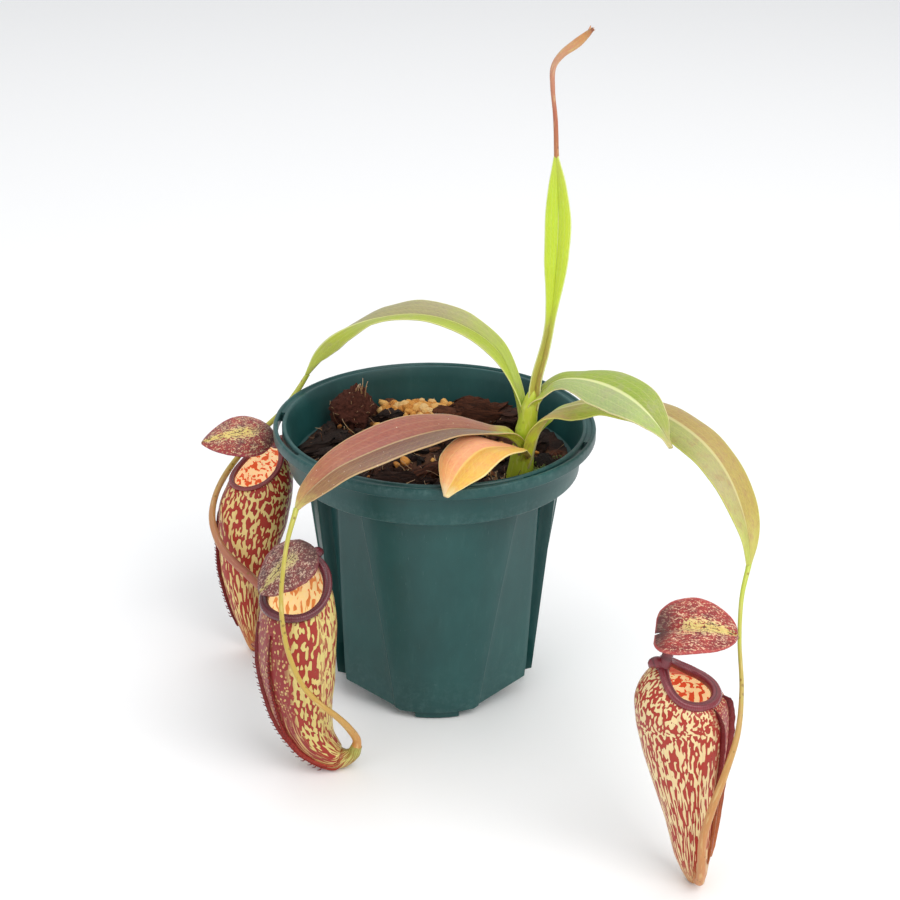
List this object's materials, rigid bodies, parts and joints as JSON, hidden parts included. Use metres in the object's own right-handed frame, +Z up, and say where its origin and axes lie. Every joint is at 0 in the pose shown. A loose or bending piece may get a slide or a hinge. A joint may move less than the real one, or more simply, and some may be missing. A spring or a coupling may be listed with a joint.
{
  "type": "potted pitcher plant",
  "caption": "Young tropical pitcher plant in a round green slotted nursery pot, with strap leaves and blotched red pitchers resting on the surface beside it.",
  "frame": {"origin": "centre of the underside of the pot, on the surface it stands on", "axes": "+Z up; -Y the front, where the pot's plain panel faces; +X to the right of the pot"},
  "size_m": [0.1472, 0.157, 0.1913],
  "materials": {
    "pot_plastic": "satin, scuffed at the edges",
    "bark_mix": "rough composted bark",
    "fern_root": "rough, fibrous",
    "granules": "rough baked clay",
    "green_tissue": "satin living tissue",
    "leaf_green": "satin living leaf",
    "leaf_mauve": "satin living leaf",
    "leaf_orange": "satin living leaf",
    "leaf_tan": "satin living leaf",
    "tendril": "satin living tissue",
    "bud": "satin living tissue",
    "pitcher_red": "waxy living tissue",
    "pitcher_cream": "waxy living tissue",
    "lid_skin": "waxy living tissue"
  },
  "bodies": {
    "root": {"pot": "pot_plastic", "potting_mix": "bark_mix", "fern_root_chunk": "fern_root", "granule_heap": "granules", "stem": "green_tissue", "leaf_back_left": "leaf_green", "leaf_front_left": "leaf_mauve", "leaf_small": "leaf_orange", "leaf_right": "leaf_green", "leaf_right_long": "leaf_tan", "leaf_upright": "leaf_green", "tendril_back_left": "tendril", "tendril_front_left": "tendril", "tendril_right": "tendril", "tendril_upright": "bud", "pitcher_left": "pitcher_red", "pitcher_middle": "pitcher_red", "pitcher_right": "pitcher_cream", "lid_left": "lid_skin", "lid_middle": "lid_skin", "lid_right": "lid_skin"}
  },
  "joints": []
}
